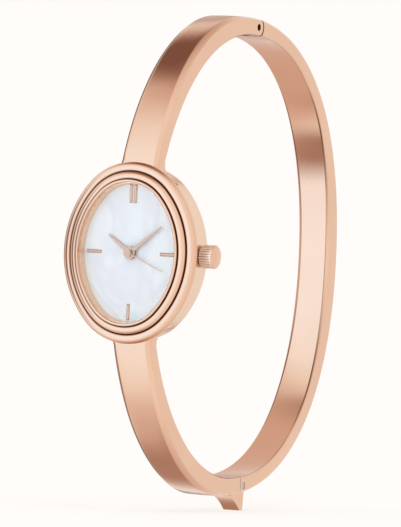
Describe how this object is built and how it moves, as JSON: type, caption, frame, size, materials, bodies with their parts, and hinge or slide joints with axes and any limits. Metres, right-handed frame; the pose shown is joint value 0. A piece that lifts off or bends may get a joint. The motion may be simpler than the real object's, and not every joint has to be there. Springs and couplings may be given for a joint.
{
  "type": "bangle watch",
  "caption": "Small oval dress watch on a rigid hinged bangle, with a ridged bezel, pearl dial and fluted crown.",
  "frame": {"origin": "middle of the wrist opening, level with the middle of the dial", "axes": "+Z towards 12 o'clock, -Y the way the dial faces, +X towards 3 o'clock and the crown"},
  "size_m": [0.0215, 0.0583, 0.0673],
  "materials": {
    "rose_gold": "polished",
    "dark_rose_gold": "polished",
    "pearl": "lacquered",
    "rim": "polished",
    "glass": "clear",
    "steel": "fine",
    "brass": "satin",
    "copper": "enamelled",
    "board": "matt",
    "nylon": "matt",
    "seal": "matt"
  },
  "bodies": {
    "case": {"mid_case": "rose_gold", "bezel": "rose_gold", "crystal": "glass", "crystal_gasket": "seal", "dial_ring": "rim", "dial": "pearl", "hour_markers": "dark_rose_gold", "main_plate": "brass", "train_bridge": "brass", "bridge_screws": "steel", "stator": "steel", "coil": "copper", "coil_core": "steel", "circuit_board": "board", "chip": "board", "quartz_can": "steel", "battery": "steel", "battery_strap": "steel", "movement_holder": "nylon", "crown_tube": "steel", "caseback": "rose_gold", "caseback_gasket": "seal", "upper_arm": "rose_gold", "lower_arm": "rose_gold", "hinge_pin": "steel", "clasp_socket": "steel"},
    "bow": {"rear_bow": "rose_gold", "clasp_tongue": "steel", "clasp_pin": "steel", "thumb_lip": "rose_gold"},
    "minutes": {"minute_hand": "dark_rose_gold", "cannon_pinion": "brass"},
    "hours": {"hour_hand": "dark_rose_gold", "hour_wheel": "brass"},
    "minute_gear": {"minute_wheel": "brass"},
    "seconds": {"second_hand": "dark_rose_gold", "second_wheel": "brass"},
    "third_gear": {"third_wheel": "brass"},
    "centre_gear": {"centre_wheel": "brass"},
    "fifth_gear": {"fifth_wheel": "brass"},
    "motor_rotor": {"rotor": "steel"},
    "clutch": {"clutch_pinion": "steel"},
    "winder": {"crown": "rose_gold", "stem": "steel", "crown_gasket": "seal"},
    "lever": {"setting_lever": "steel"}
  },
  "joints": [
    {"name": "bow_open", "type": "hinge", "parent": "case", "child": "bow", "pos_m": [0, 0.0026, 0.03125], "axis": [1, 0, 0], "range_deg": [0, 40]},
    {"name": "minute_turn", "type": "hinge", "parent": "case", "child": "minutes", "pos_m": [0, -0.02655, 0], "axis": [0, -1, 0], "continuous": true},
    {"name": "hour_turn", "type": "hinge", "parent": "case", "child": "hours", "pos_m": [0, -0.02655, 0], "axis": [0, -1, 0], "continuous": true},
    {"name": "minute_gear_turn", "type": "hinge", "parent": "case", "child": "minute_gear", "pos_m": [0.00174, -0.02655, 0.00122], "axis": [0, -1, 0], "continuous": true},
    {"name": "second_turn", "type": "hinge", "parent": "case", "child": "seconds", "pos_m": [0, -0.02655, 0], "axis": [0, -1, 0], "continuous": true},
    {"name": "third_turn", "type": "hinge", "parent": "case", "child": "third_gear", "pos_m": [-0.00213, -0.02655, 0], "axis": [0, -1, 0], "continuous": true},
    {"name": "centre_turn", "type": "hinge", "parent": "case", "child": "centre_gear", "pos_m": [0, -0.02655, 0], "axis": [0, -1, 0], "continuous": true},
    {"name": "fifth_turn", "type": "hinge", "parent": "case", "child": "fifth_gear", "pos_m": [-0.00106, -0.02655, 0.00184], "axis": [0, -1, 0], "continuous": true},
    {"name": "rotor_turn", "type": "hinge", "parent": "case", "child": "motor_rotor", "pos_m": [-0.00183, -0.02655, 0.00317], "axis": [0, -1, 0], "continuous": true},
    {"name": "crown_turn", "type": "hinge", "parent": "case", "child": "clutch", "pos_m": [0, -0.02385, 0], "axis": [1, 0, 0], "continuous": true},
    {"name": "crown_pull", "type": "slide", "parent": "clutch", "child": "winder", "axis": [1, 0, 0], "range_m": [0, 0.0006]},
    {"name": "lever_swing", "type": "hinge", "parent": "case", "child": "lever", "pos_m": [0.00655, -0.02385, 0.00189], "axis": [0, -1, 0], "range_deg": [0, 21.5]}
  ],
  "couplings": [
    {"joint": "hour_turn", "follows": "minute_turn", "ratio": 0.083333},
    {"joint": "minute_gear_turn", "follows": "minute_turn", "ratio": -0.33333},
    {"joint": "third_turn", "follows": "second_turn", "ratio": -0.125},
    {"joint": "centre_turn", "follows": "second_turn", "ratio": 0.016667},
    {"joint": "fifth_turn", "follows": "second_turn", "ratio": -6},
    {"joint": "rotor_turn", "follows": "second_turn", "ratio": 30},
    {"joint": "lever_swing", "follows": "crown_pull", "rad_per_m": 625}
  ]
}
